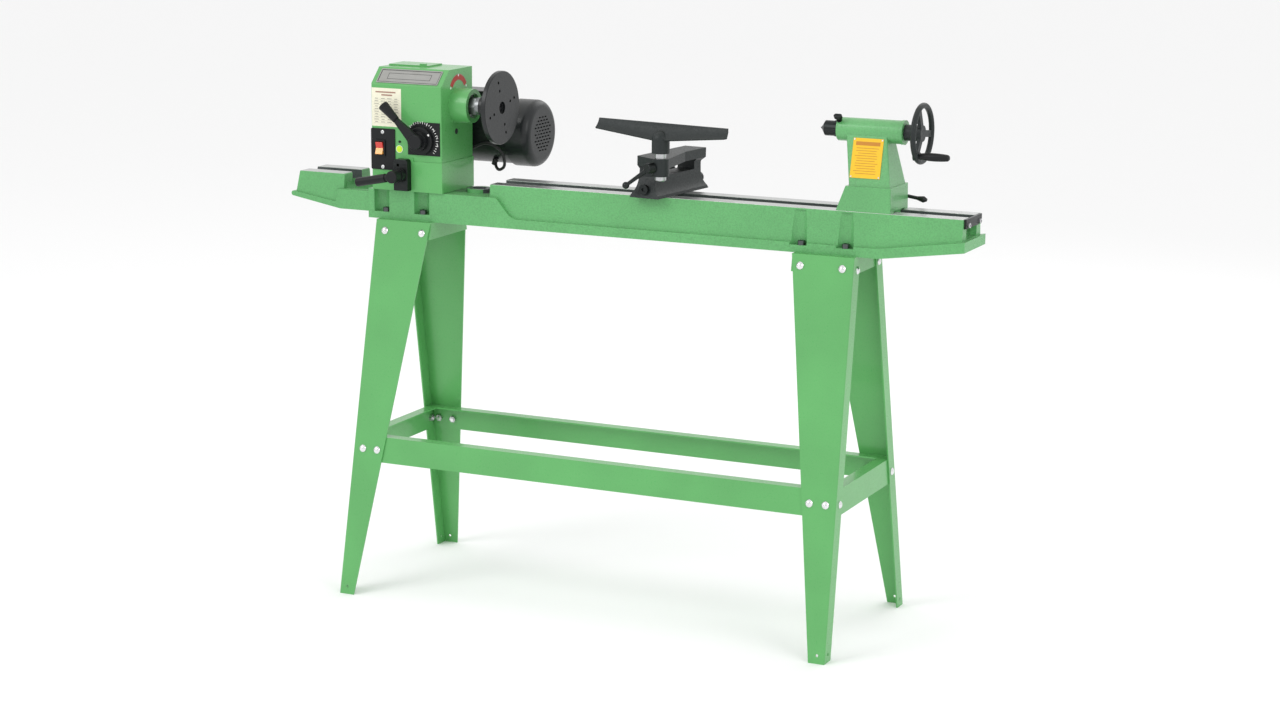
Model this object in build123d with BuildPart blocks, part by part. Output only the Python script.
from build123d import *
import os
from math import atan2, cos, degrees, hypot, pi, radians, sin, tan

os.makedirs("parts", exist_ok=True)

# Wood lathe on a folded-sheet stand.  Frame: X along the bed towards the tailstock,
# Y away from the operator, Z up, with the origin on the floor under the bed's middle.

# ---------------------------------------------------------------- driving dimensions (mm)
way_top = 865.4           # top of the ways over the floor
centre_height = 153.2     # spindle axis over the ways, for a 12 inch swing
axis_z = way_top + centre_height
stand_top = 778.4         # top of the stand, where the bed's underside sits
bed_half = 753.0          # half of the bed's whole length

# stand
sheet = 3.0               # thickness of the folded sheet
leg_x_top = 535.0
leg_x_foot = 548.0
leg_y_top = 77.0
leg_y_foot = 227.0
face_top = 130.0          # width of a leg's front face at its top
face_foot = 34.0
leg_flange = 34.0
pan_depth = 35.0
stretcher_low = 278.6
stretcher_high = 331.0
stretcher_flange = 25.0
face_bolt_rows = ((424.0, 756.0), (512.0, 756.0), (487.0, 304.0), (521.0, 304.0))
side_bolt_rows = ((60.0, 752.0), (148.0, 303.0))
bolt_hole_r = 4.5

# bed
seat_top = 840.0          # low seat that the headstock turns on
rail_inner = 18.8         # half of the slot between the ways
rail_outer = 52.0
wall_foot = 60.0          # half width of the drafted wall at the underside
ledge_half = 64.0
cavity_half = 44.0
rail_thick = 20.0
joint_x = -561.0          # where the outboard extension meets the bed
seat_end = -277.0
bed_end = 745.0
pocket_floor = 793.0
seat_pockets = (-528.5, -432.5)
way_pockets = (412.0, 509.5)
bed_screw_y = 57.0
bed_screw_x = (-521.0, -432.5, 416.5, 509.5)
notch_x = -626.0
joint_screws = ((30.0, 812.0), (-30.0, 812.0))
stop_screw = (33.0, 852.0)

# headstock
swivel_x = -465.5
head_left = -549.0
head_right = -382.0
head_half = 68.0
head_low = seat_top + 0.5
head_high = 1094.0
chamfer_y = -33.0
chamfer_z = 1060.0
head_wall = 8.0
pivot_r = 19.0
boss_r = 35.0
boss_end = -342.0
bearing_r = 26.0
bearing_width = 15.0
shaft_r = 12.5

# drive
belt_x = -502.0
belt_width = 14.0
belt_depth = 8.0
spindle_pulley_r = 45.0   # radius under the belt at this speed setting
motor_pulley_r = 32.0
motor_y = 148.0
motor_z = 950.0
motor_r = 67.0
cowl_r = 71.0
housing_right = -472.0
motor_end = -257.5

# controls
dial_x = -430.0
dial_z = 948.0
rocker_x = -527.0
rocker_z = 928.0
lock_x = -471.0
lock_z = 876.0

# faceplate
faceplate_front = -275.5
faceplate_r = 76.2
faceplate_thick = 10.0

# tool rest
rest_x = 95.0
rest_turn = -6.0          # degrees that the rest base stands turned about the clamp stud
banjo_top = 947.5
post_u = 35.5
post_v = -77.0
post_r = 11.5
rod_z = 883.0
blade_turn = -9.0

# tailstock
tail_x = 550.0
barrel_r = 23.0
barrel_left = 470.0
barrel_right = 600.0
quill_r = 13.5
tail_rod_z = 892.0
wheel_x = 640.0
wheel_r = 59.8
crank_angle = 234.0       # about the quill's axis, from +Y towards +Z
crank_r = 50.0


def leg_x(z):
    """Outer face of the side flanges at height z."""
    return leg_x_top + (leg_x_foot - leg_x_top) * (stand_top - z) / stand_top


def leg_y(z):
    """Outer face of the leg's wide face at height z."""
    return leg_y_top + (leg_y_foot - leg_y_top) * (stand_top - z) / stand_top


def face_plane(x, row, z):
    """Plane on a leg's wide face, looking out of the stand."""
    slope = (leg_y_foot - leg_y_top) / stand_top
    return Plane(origin=(x, row * leg_y(z), z), x_dir=(1, 0, 0), z_dir=(0, row, slope))


def side_plane(end, y, z):
    """Plane on a leg's side flange, looking out of the stand."""
    slope = (leg_x_foot - leg_x_top) / stand_top
    return Plane(origin=(end * leg_x(z), y, z), x_dir=(0, 1, 0), z_dir=(end, 0, slope))


def leg_bolts(end, row):
    """The six bolt places on one leg."""
    planes = [face_plane(end * x, row, z) for x, z in face_bolt_rows]
    planes += [side_plane(end, row * y, z) for y, z in side_bolt_rows]
    return planes


all_bolts = [plane for end in (-1, 1) for row in (-1, 1) for plane in leg_bolts(end, row)]


def near(shapes, x, y, z=0.0):
    """The vertex or edge closest to a point."""
    return shapes.sort_by_distance((x, y, z))[0]


# ---------------------------------------------------------------- stand: legs
def make_leg(end, row):
    """Folded L section that narrows to its foot; end is the sign of X, row the sign of Y."""
    with BuildPart() as leg:
        for z, face in ((0.0, face_foot), (stand_top, face_top)):
            x = end * leg_x(z)
            y = row * leg_y(z)
            with BuildSketch(Plane.XY.offset(z)):
                with BuildLine():
                    Polyline((x, y), (x, y - row * leg_flange),
                             (x - end * sheet, y - row * leg_flange),
                             (x - end * sheet, y - row * sheet),
                             (x - end * face, y - row * sheet), (x - end * face, y),
                             close=True)
                make_face()
        loft(ruled=True)
        middle = stand_top / 2
        fold = near(leg.edges(), end * leg_x(middle), row * leg_y(middle), middle)
        fillet(fold, 2.4)
        with Locations(*leg_bolts(end, row)):
            Hole(bolt_hole_r, depth=2 * sheet)
        feet = [face_plane(end * (leg_x_foot - 17.0), row, 16.0)]
        feet += [side_plane(end, row * (leg_y_foot - 20.0), 16.0)]
        with Locations(*feet):
            Hole(3.0, depth=2 * sheet)
    return leg


leg_front_left = make_leg(-1, -1)
leg_front_left.part.label = "leg_front_left"
export_step(leg_front_left.part, "parts/leg_front_left.step")

leg_front_right = make_leg(1, -1)
leg_front_right.part.label = "leg_front_right"
export_step(leg_front_right.part, "parts/leg_front_right.step")

leg_rear_left = make_leg(-1, 1)
leg_rear_left.part.label = "leg_rear_left"
export_step(leg_rear_left.part, "parts/leg_rear_left.step")

leg_rear_right = make_leg(1, 1)
leg_rear_right.part.label = "leg_rear_right"
export_step(leg_rear_right.part, "parts/leg_rear_right.step")


# ---------------------------------------------------------------- stand: top plates
def make_top_plate(end):
    """Pressed pan between a front and a rear leg, open below."""
    low = stand_top - pan_depth
    inner_end = leg_x_top - face_top
    with BuildPart() as pan:
        for wall, top in ((0.0, stand_top), (sheet, stand_top - sheet)):
            for z in (low, top):
                x_out = leg_x(z) - sheet - wall
                y_out = leg_y(z) - sheet - wall
                x_mid = end * (x_out + inner_end + wall) / 2
                with BuildSketch(Plane.XY.offset(z)):
                    with Locations((x_mid, 0)):
                        Rectangle(x_out - inner_end - wall, 2 * y_out)
            loft(ruled=True, mode=Mode.ADD if wall == 0.0 else Mode.SUBTRACT)
        upper = [plane for plane in all_bolts if plane.origin.Z > low]
        with Locations(*upper):
            Hole(bolt_hole_r, depth=3 * sheet)
        screw_x = [x for x in bed_screw_x if x * end > 0]
        with Locations(*[(x, y, stand_top) for x in screw_x for y in (-bed_screw_y, bed_screw_y)]):
            Hole(bolt_hole_r, depth=2 * sheet)
    return pan


top_plate_left = make_top_plate(-1)
top_plate_left.part.label = "top_plate_left"
export_step(top_plate_left.part, "parts/top_plate_left.step")

top_plate_right = make_top_plate(1)
top_plate_right.part.label = "top_plate_right"
export_step(top_plate_right.part, "parts/top_plate_right.step")


# ---------------------------------------------------------------- stand: stretchers
def angle_outline(outer, sign):
    """Closed outline of an angle section whose web follows the leg's slope.

    outer(z) is the face against the legs; the flange points inwards at the top."""
    low = stretcher_low
    high = stretcher_high
    flange_end = outer(high) - stretcher_flange
    under = high - sheet
    points = [(outer(low), low), (outer(high), high), (flange_end, high),
              (flange_end, under), (outer(under) - sheet, under), (outer(low) - sheet, low)]
    return [(sign * a, z) for a, z in points]


def make_long_stretcher(row):
    """Angle along X behind the wide faces of two legs."""
    reach = 535.5
    with BuildPart() as stretcher:
        with BuildSketch(Plane.YZ.offset(-reach)):
            with BuildLine():
                Polyline(*angle_outline(lambda z: leg_y(z) - sheet, row), close=True)
            make_face()
        extrude(amount=2 * reach)
        holes = [plane for plane in all_bolts
                 if plane.origin.Z < stretcher_high and plane.z_dir.Y * row > 0.5]
        with Locations(*holes):
            Hole(bolt_hole_r, depth=3 * sheet)
    return stretcher


def make_end_stretcher(end):
    """Angle along Y inside the side flanges of two legs, its flange cut back at the corners."""
    reach = 157.0
    flange_reach = 134.0
    with BuildPart() as stretcher:
        with BuildSketch(Plane.XZ.offset(-reach)):
            with BuildLine():
                Polyline(*angle_outline(lambda z: leg_x(z) - sheet, end), close=True)
            make_face()
        extrude(amount=2 * reach)
        corner_x = end * (leg_x(stretcher_high) - 2 * sheet - 0.6 - stretcher_flange / 2)
        for row in (-1, 1):
            corner_y = row * (reach + flange_reach) / 2
            with Locations((corner_x, corner_y, stretcher_high)):
                Box(stretcher_flange, reach - flange_reach, 3 * sheet, mode=Mode.SUBTRACT)
        holes = [plane for plane in all_bolts
                 if plane.origin.Z < stretcher_high and plane.z_dir.X * end > 0.5]
        with Locations(*holes):
            Hole(bolt_hole_r, depth=3 * sheet)
    return stretcher


stretcher_front = make_long_stretcher(-1)
stretcher_front.part.label = "stretcher_front"
export_step(stretcher_front.part, "parts/stretcher_front.step")

stretcher_rear = make_long_stretcher(1)
stretcher_rear.part.label = "stretcher_rear"
export_step(stretcher_rear.part, "parts/stretcher_rear.step")

stretcher_left = make_end_stretcher(-1)
stretcher_left.part.label = "stretcher_left"
export_step(stretcher_left.part, "parts/stretcher_left.step")

stretcher_right = make_end_stretcher(1)
stretcher_right.part.label = "stretcher_right"
export_step(stretcher_right.part, "parts/stretcher_right.step")

# ---------------------------------------------------------------- stand: bolts and nuts
with BuildPart() as one_bolt:
    with BuildSketch(Plane.XZ):
        with BuildLine():
            Polyline((0, 5.2), (0, -14), (3.9, -14), (3.9, 0), (7.8, 0), (7.8, 1.4))
            TangentArc((0, 5.2), (7.8, 1.4), tangent=(1, 0))
        make_face()
    revolve(axis=Axis.Z)

with BuildPart() as one_nut:
    with BuildSketch(Plane.XY.offset(-2 * sheet - 6.1)):
        RegularPolygon(6.5, 6, major_radius=False)
        Circle(4.0, mode=Mode.SUBTRACT)
    extrude(amount=6.0)

with BuildPart() as stand_bolts:
    with Locations(*all_bolts):
        add(one_bolt.part)
stand_bolts.part.label = "stand_bolts"
export_step(stand_bolts.part, "parts/stand_bolts.step")

with BuildPart() as stand_nuts:
    with Locations(*all_bolts):
        add(one_nut.part)
stand_nuts.part.label = "stand_nuts"
export_step(stand_nuts.part, "parts/stand_nuts.step")

# ---------------------------------------------------------------- bed
rail_under = way_top - rail_thick
body_low = stand_top
seat_plate = 18.0
end_rise = 802.5          # underside at the far end of the bed
ledge_line = 798.0
rise_start = 579.0
rib_high = 811.0

with BuildPart() as bed_main:
    # drafted wall, cut to the bed's side outline
    with BuildSketch(Plane.YZ.offset(joint_x)):
        with BuildLine():
            Polyline((-wall_foot, body_low), (wall_foot, body_low), (rail_outer, way_top),
                     (-rail_outer, way_top), close=True)
        make_face()
    extrude(amount=bed_end - joint_x)
    with BuildSketch(Plane.XZ):
        with BuildLine():
            Polyline((joint_x, body_low), (rise_start, body_low), (bed_end, end_rise - 1),
                     (bed_end, way_top), (seat_end, way_top), (seat_end, seat_top - 5),
                     (joint_x, seat_top - 5), close=True)
        make_face()
    extrude(amount=ledge_half, both=True, mode=Mode.INTERSECT)
    # ledge along the foot, which swells into the seat under the headstock
    with BuildSketch(Plane.XZ) as ledge:
        with BuildLine():
            Polyline((joint_x, body_low), (rise_start, body_low), (bed_half, end_rise),
                     (bed_half, 823.0), (576.0, ledge_line), (-222.0, ledge_line),
                     (-258.0, seat_top), (joint_x, seat_top), close=True)
        make_face()
        fillet(near(ledge.vertices(), -258.0, seat_top), 9.0)
        fillet(near(ledge.vertices(), -222.0, ledge_line), 34.0)
        fillet(near(ledge.vertices(), 576.0, ledge_line), 200.0)
        fillet(near(ledge.vertices(), rise_start, body_low), 200.0)
    extrude(amount=ledge_half, both=True)
    # slot between the ways, channel below them and hollow under the seat
    slot_length = bed_end - seat_end
    with Locations((seat_end + slot_length / 2, 0, way_top)):
        Box(slot_length, 2 * rail_inner, 2 * rail_thick + 2, mode=Mode.SUBTRACT)
    channel_left = seat_end + 8.0
    channel_right = bed_end - 12.0
    with Locations(((channel_left + channel_right) / 2, 0, (body_low + rail_under) / 2)):
        Box(channel_right - channel_left, 2 * cavity_half, rail_under - body_low,
            mode=Mode.SUBTRACT)
    hollow_left = joint_x + 12.0
    hollow_right = channel_left - 12.0
    hollow_high = seat_top - seat_plate
    with Locations(((hollow_left + hollow_right) / 2, 0, (body_low + hollow_high) / 2)):
        Box(hollow_right - hollow_left, 2 * cavity_half, hollow_high - body_low,
            mode=Mode.SUBTRACT)
    # window in the end wall, under the stop plate
    with Locations((bed_end - 6, 0, 834.5)):
        Box(30, 62, 23, mode=Mode.SUBTRACT)
    # cross ribs under the clamp shoes
    with Locations(*[(x, 0, (body_low + rib_high) / 2) for x in (-30, 200, 460)]):
        Box(10, 2 * cavity_half + 2, rib_high - body_low)
    # boss that takes the swivel post, and the round raised boss on the seat
    with Locations((swivel_x, 0, 811)):
        Cylinder(35, 24)
    with Locations((swivel_x, 0, 799)):
        Cylinder(pivot_r + 0.05, 50, align=(Align.CENTER, Align.CENTER, Align.MIN),
                 mode=Mode.SUBTRACT)
    with Locations((-330, 0, seat_top)):
        Cylinder(27, 8, align=(Align.CENTER, Align.CENTER, Align.MIN))
    with Locations((-330, 0, seat_top - 6)):
        Cylinder(15, 15, align=(Align.CENTER, Align.CENTER, Align.MIN), mode=Mode.SUBTRACT)
    # half-round pockets over the holding-down screws
    for row in (-1, 1):
        with Locations(*[(x, row * ledge_half, pocket_floor) for x in seat_pockets]):
            Cylinder(18.0, 60, align=(Align.CENTER, Align.CENTER, Align.MIN),
                     mode=Mode.SUBTRACT)
        with Locations(*[(x, row * 66.0, pocket_floor) for x in way_pockets]):
            Cylinder(18.3, 69, align=(Align.CENTER, Align.CENTER, Align.MIN),
                     mode=Mode.SUBTRACT)
        with Locations(*[(x, row * bed_screw_y, pocket_floor) for x in bed_screw_x]):
            Hole(bolt_hole_r, depth=pocket_floor - body_low + 1)
    joint_holes = [Plane(origin=(joint_x, y, z), z_dir=(-1, 0, 0)) for y, z in joint_screws]
    with Locations(*joint_holes):
        Hole(4.1, depth=14)
    stop_holes = [Plane(origin=(bed_end, side * stop_screw[0], stop_screw[1]), z_dir=(1, 0, 0))
                  for side in (-1, 1)]
    with Locations(*stop_holes):
        Hole(3.05, depth=16)
bed_main.part.label = "bed_main"
export_step(bed_main.part, "parts/bed_main.step")

# outboard extension of the bed, with its own short ways
low_ledge = 834.0
with BuildPart() as bed_extension:
    with BuildSketch(Plane.YZ.offset(joint_x)):
        with BuildLine():
            Polyline((-59, 790), (59, 790), (rail_outer, way_top), (-rail_outer, way_top),
                     close=True)
        make_face()
    extrude(amount=-(joint_x + bed_half))
    with BuildSketch(Plane.XZ) as side_outline:
        with BuildLine():
            Polyline((joint_x, 791.5), (-633, 791.5), (-744, 812), (-743, 823), (-736, way_top),
                     (notch_x, way_top), (notch_x, low_ledge), (joint_x, low_ledge), close=True)
        make_face()
        fillet(near(side_outline.vertices(), notch_x, way_top), 4.0)
        fillet(near(side_outline.vertices(), -736, way_top), 3.0)
    extrude(amount=ledge_half, both=True, mode=Mode.INTERSECT)
    with BuildSketch(Plane.XZ) as lip:
        with BuildLine():
            Polyline((joint_x, 791.5), (-633, 791.5), (-bed_half, 812.5), (-bed_half, 823),
                     (-643, 805.5), (-639, low_ledge - 1), (joint_x, low_ledge - 1), close=True)
        make_face()
        fillet(near(lip.vertices(), -bed_half, 812.5), 5.0)
        fillet(near(lip.vertices(), -bed_half, 823), 5.0)
        fillet(near(lip.vertices(), -643, 805.5), 3.0)
        fillet(near(lip.vertices(), -633, 791.5), 60.0)
    extrude(amount=61.0, both=True)
    with Locations(((joint_x - bed_half) / 2 - 6, 0, way_top)):
        Box(bed_half + joint_x - 12, 2 * rail_inner, 2 * rail_thick + 2, mode=Mode.SUBTRACT)
    with Locations(((joint_x - 732) / 2 - 6, 0, 818)):
        Box(732 + joint_x - 12, 2 * cavity_half, 2 * (rail_under - 818), mode=Mode.SUBTRACT)
    with Locations(((joint_x + notch_x) / 2, 0, low_ledge)):
        Box(joint_x - notch_x - 24, 2 * cavity_half, 30, mode=Mode.SUBTRACT)
    joint_holes = [Plane(origin=(joint_x, y, z), z_dir=(1, 0, 0)) for y, z in joint_screws]
    with Locations(*joint_holes):
        Hole(bolt_hole_r, depth=14)
bed_extension.part.label = "bed_extension"
export_step(bed_extension.part, "parts/bed_extension.step")

# stop plate over the open end of the slot
with BuildPart() as end_stop_plate:
    with BuildSketch(Plane.YZ.offset(bed_end)) as plate:
        with Locations((0, (846.4 + way_top - 0.4) / 2)):
            Rectangle(94, way_top - 0.4 - 846.4)
        with Locations(*[(side * stop_screw[0], stop_screw[1]) for side in (-1, 1)]):
            Circle(3.4, mode=Mode.SUBTRACT)
    extrude(amount=5.0)
end_stop_plate.part.label = "end_stop_plate"
export_step(end_stop_plate.part, "parts/end_stop_plate.step")


# ---------------------------------------------------------------- bed screws
def socket_screw(head_radius, head_height, shank_radius, length, socket):
    """Socket cap screw with its head on +Z of the origin."""
    with BuildPart() as screw:
        Cylinder(head_radius, head_height, align=(Align.CENTER, Align.CENTER, Align.MIN))
        chamfer(screw.faces().sort_by(Axis.Z)[-1].edges(), 0.8)
        Cylinder(shank_radius, length, align=(Align.CENTER, Align.CENTER, Align.MAX))
        with BuildSketch(Plane.XY.offset(head_height)):
            RegularPolygon(socket / 2, 6, major_radius=False)
        extrude(amount=-head_height * 0.6, mode=Mode.SUBTRACT)
    return screw.part


holding_screw = socket_screw(7.5, 9.0, 4.0, 32.0, 6.5)
short_screw = socket_screw(6.5, 8.0, 4.0, 24.0, 6.0)
stop_screw_part = socket_screw(5.0, 3.6, 3.0, 18.0, 4.0)
with BuildPart() as holding_nut:
    with BuildSketch(Plane.XY.offset(stand_top - sheet - 6.6 - pocket_floor)):
        RegularPolygon(6.5, 6, major_radius=False)
        Circle(4.05, mode=Mode.SUBTRACT)
    extrude(amount=6.5)

with BuildPart() as bed_screws:
    with Locations(*[(x, y, pocket_floor) for x in bed_screw_x for y in (-bed_screw_y, bed_screw_y)]):
        add(holding_screw)
        add(holding_nut.part)
    inside = [Plane(origin=(joint_x - 12, y, z), z_dir=(-1, 0, 0)) for y, z in joint_screws]
    with Locations(*inside):
        add(short_screw)
    outside = [Plane(origin=(bed_end + 5, side * stop_screw[0], stop_screw[1]), z_dir=(1, 0, 0))
               for side in (-1, 1)]
    with Locations(*outside):
        add(stop_screw_part)
bed_screws.part.label = "bed_screws"
export_step(bed_screws.part, "parts/bed_screws.step")

# post that the headstock turns about: shank in the bed's boss, head over the head's floor
floor_top = 860.5
with BuildPart() as swivel_post:
    with BuildSketch(Plane(origin=(swivel_x, 0, 0), x_dir=(1, 0, 0), z_dir=(0, -1, 0))):
        with BuildLine():
            Polyline((0, 800), (pivot_r, 800), (pivot_r, floor_top + 0.4),
                     (30, floor_top + 0.4), (30, floor_top + 9), (27, floor_top + 12),
                     (0, floor_top + 12), close=True)
        make_face()
    revolve(axis=Axis((swivel_x, 0, 0), (0, 0, 1)))
    with BuildSketch(Plane(origin=(swivel_x, 0, floor_top + 12))):
        RegularPolygon(8.5, 6, major_radius=False)
    extrude(amount=-9, mode=Mode.SUBTRACT)
swivel_post.part.label = "swivel_post"
export_step(swivel_post.part, "parts/swivel_post.step")

# ---------------------------------------------------------------- headstock casting
inner_left = head_left + head_wall
inner_right = head_right - head_wall
cover_x = -497.0
cover_y = 29.0
bearing_in = boss_end - 10.0     # face of the front bearing, inside the boss's recess
rear_bearing_in = head_left + 6.0
nose_bearing = Plane(origin=(bearing_in, 0, axis_z), z_dir=(-1, 0, 0))
tail_bearing = Plane(origin=(rear_bearing_in, 0, axis_z), z_dir=(1, 0, 0))
right_wall = Plane(origin=(head_right, 0, axis_z), x_dir=(0, 1, 0), z_dir=(1, 0, 0))


def head_outline(inset):
    """Side outline of the head, with the sloped front top edge, shrunk by inset."""
    low = head_low if inset == 0 else floor_top
    half = head_half - inset
    slope = inset * tan(radians(22.5))
    return [(-half, low), (half, low), (half, head_high - inset),
            (chamfer_y + slope, head_high - inset), (-half, chamfer_z - slope)]


with BuildPart() as headstock_casting:
    with BuildSketch(Plane.YZ.offset(head_left)):
        with BuildLine():
            Polyline(*head_outline(0.0), close=True)
        make_face()
    extrude(amount=head_right - head_left)
    upright = headstock_casting.edges().filter_by(Axis.Z)
    fillet(upright, 3.0)
    # proud foot band on the front and the right side, stepped up round the lock bracket
    with BuildSketch(Plane.XZ.offset(head_half)):
        with BuildLine():
            Polyline((-487, head_low), (head_right + 1.5, head_low), (head_right + 1.5, 904),
                     (-449, 904), (-449, 911), (-487, 911), close=True)
        make_face()
    extrude(amount=1.5)
    with BuildSketch(Plane.YZ.offset(head_right - 4)):
        with Locations((0, (head_low + 904) / 2)):
            Rectangle(2 * head_half, 904 - head_low)
    extrude(amount=5.5)
    # bearing boss on the right, with a shallow web under it
    with BuildSketch(right_wall):
        Circle(boss_r + 2.0)
    extrude(amount=boss_end - head_right, taper=2.8)
    # hollow for the pulleys, with inner bosses round both bearings
    with BuildSketch(Plane.YZ.offset(inner_left)):
        with BuildLine():
            Polyline(*head_outline(head_wall), close=True)
        make_face()
    extrude(amount=inner_right - inner_left, mode=Mode.SUBTRACT)
    with BuildSketch(Plane.YZ.offset(inner_left - 1)):
        with Locations((0, axis_z)):
            Circle(33)
    extrude(amount=14)
    with BuildSketch(tail_bearing.offset(-10)):
        Circle(bearing_r + 0.02)
    extrude(amount=10 + bearing_width, mode=Mode.SUBTRACT)
    with BuildSketch(tail_bearing):
        Circle(shaft_r + 4)
    extrude(amount=40, mode=Mode.SUBTRACT)
    with BuildSketch(nose_bearing.offset(-12)):
        Circle(bearing_r + 0.02)
    extrude(amount=12 + bearing_width, mode=Mode.SUBTRACT)
    with BuildSketch(nose_bearing):
        Circle(shaft_r + 4)
    extrude(amount=50, mode=Mode.SUBTRACT)
    # swivel bore in the floor, access opening in the top, belt window in the back
    with Locations((swivel_x, 0, floor_top)):
        Hole(pivot_r + 0.06, depth=40)
    with Locations((cover_x, cover_y, head_high)):
        Box(76, 54, 40, mode=Mode.SUBTRACT)
    with Locations((-509, head_half, 975)):
        Box(56, 30, 182, mode=Mode.SUBTRACT)
    # openings in the front for the switch, the speed shaft and the lock shaft
    with Locations((rocker_x, -head_half, rocker_z)):
        Box(18.4, 30, 27.9, mode=Mode.SUBTRACT)
    front = Plane(origin=(0, -head_half - 2, 0), x_dir=(1, 0, 0), z_dir=(0, -1, 0))
    with Locations(front):
        with Locations((dial_x, dial_z)):
            Hole(9.05, depth=20)
        with Locations((lock_x, lock_z)):
            Hole(7.05, depth=20)
    plug = Plane(origin=(head_right, -4, 964), z_dir=(1, 0, 0))
    with Locations(plug):
        Hole(4.0, depth=20)
headstock_casting.part.label = "headstock_casting"
export_step(headstock_casting.part, "parts/headstock_casting.step")

# cover over the access opening, with its spring catch
with BuildPart() as head_cover:
    with Locations((cover_x, cover_y, head_high)):
        Box(96, 62, 3, align=(Align.CENTER, Align.CENTER, Align.MIN))
    fillet(head_cover.edges().filter_by(Axis.Z), 4.0)
    with Locations((-463, 2, head_high + 3)):
        Box(13, 8, 3.5, align=(Align.CENTER, Align.CENTER, Align.MIN))
    with Locations((cover_x, cover_y, head_high)):
        Box(74, 52, 4, align=(Align.CENTER, Align.CENTER, Align.MAX))
head_cover.part.label = "head_cover"
export_step(head_cover.part, "parts/head_cover.step")

# blank metal plate on the sloped edge of the head
slope_angle = degrees(atan2(head_high - chamfer_z, head_half + chamfer_y))
slope_mid = ((-head_half + chamfer_y) / 2, (chamfer_z + head_high) / 2)
slope_normal = (0, -sin(radians(slope_angle)), cos(radians(slope_angle)))
slope_plane = Plane(origin=(-466, *slope_mid), x_dir=(1, 0, 0), z_dir=slope_normal)
with BuildPart() as nameplate:
    with BuildSketch(slope_plane):
        RectangleRounded(146, 38, 2.5)
    extrude(amount=1.2)
    with BuildSketch(slope_plane.offset(1.2)):
        RectangleRounded(141, 33, 1.5)
    extrude(amount=-0.5, mode=Mode.SUBTRACT)
nameplate.part.label = "nameplate"
export_step(nameplate.part, "parts/nameplate.step")

# ---------------------------------------------------------------- head controls
front_face = Plane(origin=(0, -head_half, 0), x_dir=(1, 0, 0), z_dir=(0, -1, 0))
panel_screw_at = ((-520.5, 962.0), (-520.5, 889.0))
with BuildPart() as switch_plate:
    with BuildSketch(front_face):
        with Locations((-520.5, 926)):
            RectangleRounded(57, 86, 3)
        with Locations((rocker_x, rocker_z)):
            Rectangle(18.4, 27.9, mode=Mode.SUBTRACT)
        with Locations(*panel_screw_at):
            Circle(2.1, mode=Mode.SUBTRACT)
    extrude(amount=2.2)
    with BuildSketch(front_face.offset(2.2)):
        with Locations((rocker_x, rocker_z)):
            RectangleRounded(25, 35, 2)
            Rectangle(18.4, 27.9, mode=Mode.SUBTRACT)
    extrude(amount=2.6)
switch_plate.part.label = "switch_plate"
export_step(switch_plate.part, "parts/switch_plate.step")

with BuildPart() as one_panel_screw:
    Cylinder(4.2, 2.2, align=(Align.CENTER, Align.CENTER, Align.MIN))
    fillet(one_panel_screw.faces().sort_by(Axis.Z)[-1].edges(), 1.4)
    Cylinder(2.0, 2.2, align=(Align.CENTER, Align.CENTER, Align.MAX))
    with Locations((0, 0, 2.2)):
        Box(1.0, 6.5, 2.0, mode=Mode.SUBTRACT)
with BuildPart() as panel_screws:
    with Locations(front_face.offset(2.2)):
        with Locations(*panel_screw_at):
            add(one_panel_screw.part)
panel_screws.part.label = "panel_screws"
export_step(panel_screws.part, "parts/panel_screws.step")

# rocker: two flats that meet at a shallow angle, on a pivot behind the plate
with BuildPart() as power_rocker:
    with BuildSketch(Plane.YZ.offset(rocker_x - 8.2)):
        with BuildLine():
            Polyline((-70, rocker_z + 12.6), (-76.8, rocker_z + 12.6), (-73.6, rocker_z),
                     (-78.6, rocker_z - 12.6), (-70, rocker_z - 12.6), (-64, rocker_z - 6),
                     (-64, rocker_z + 6), close=True)
        make_face()
    extrude(amount=16.4)
    pad = power_rocker.edges().filter_by(Axis.X).sort_by(Axis.Y)[0:2]
    fillet(pad, 1.0)
power_rocker.part.label = "power_rocker"
export_step(power_rocker.part, "parts/power_rocker.step")

with BuildPart() as speed_dial_plate:
    with BuildSketch(front_face):
        with BuildLine():
            Polyline((-461, 918), (-385, 918), (-385, 987), (-444, 987), (-461, 970), close=True)
        make_face()
        with Locations((dial_x, dial_z)):
            Circle(9.6, mode=Mode.SUBTRACT)
    extrude(amount=1.4)
speed_dial_plate.part.label = "speed_dial_plate"
export_step(speed_dial_plate.part, "parts/speed_dial_plate.step")

# speed lever: shaft, pointer disc, hub and flat tapered arm
dial_front = Plane(origin=(dial_x, -head_half, dial_z), x_dir=(1, 0, 0), z_dir=(0, -1, 0))
lever_angle = 137.0
grip_near = 64.0
grip_far = 107.0
with BuildPart() as speed_lever:
    with BuildSketch(dial_front.offset(2.0)):
        Circle(29)
    extrude(amount=7.0)
    chamfer(speed_lever.faces().sort_by(Axis.Y)[0].edges(), 1.5)
    with BuildSketch(dial_front.offset(9.0)):
        Circle(20)
    extrude(amount=8.0)
    with BuildSketch(dial_front.offset(17.0)):
        Circle(15)
    extrude(amount=12.0)
    fillet(speed_lever.faces().sort_by(Axis.Y)[0].edges(), 2.0)
    arm_dir = (cos(radians(lever_angle)), 0, sin(radians(lever_angle)))
    with BuildSketch(Plane(origin=dial_front.offset(17.5).origin, x_dir=arm_dir,
                           z_dir=(0, -1, 0))):
        with BuildLine():
            Polyline((0, -13), (grip_near, -5), (grip_near, 5), (0, 13), close=True)
        make_face()
    extrude(amount=9.0)
    with BuildSketch(dial_front.offset(2.0)):
        Circle(9.0)
    extrude(amount=-42.0)
speed_lever.part.label = "speed_lever"
export_step(speed_lever.part, "parts/speed_lever.step")

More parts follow.
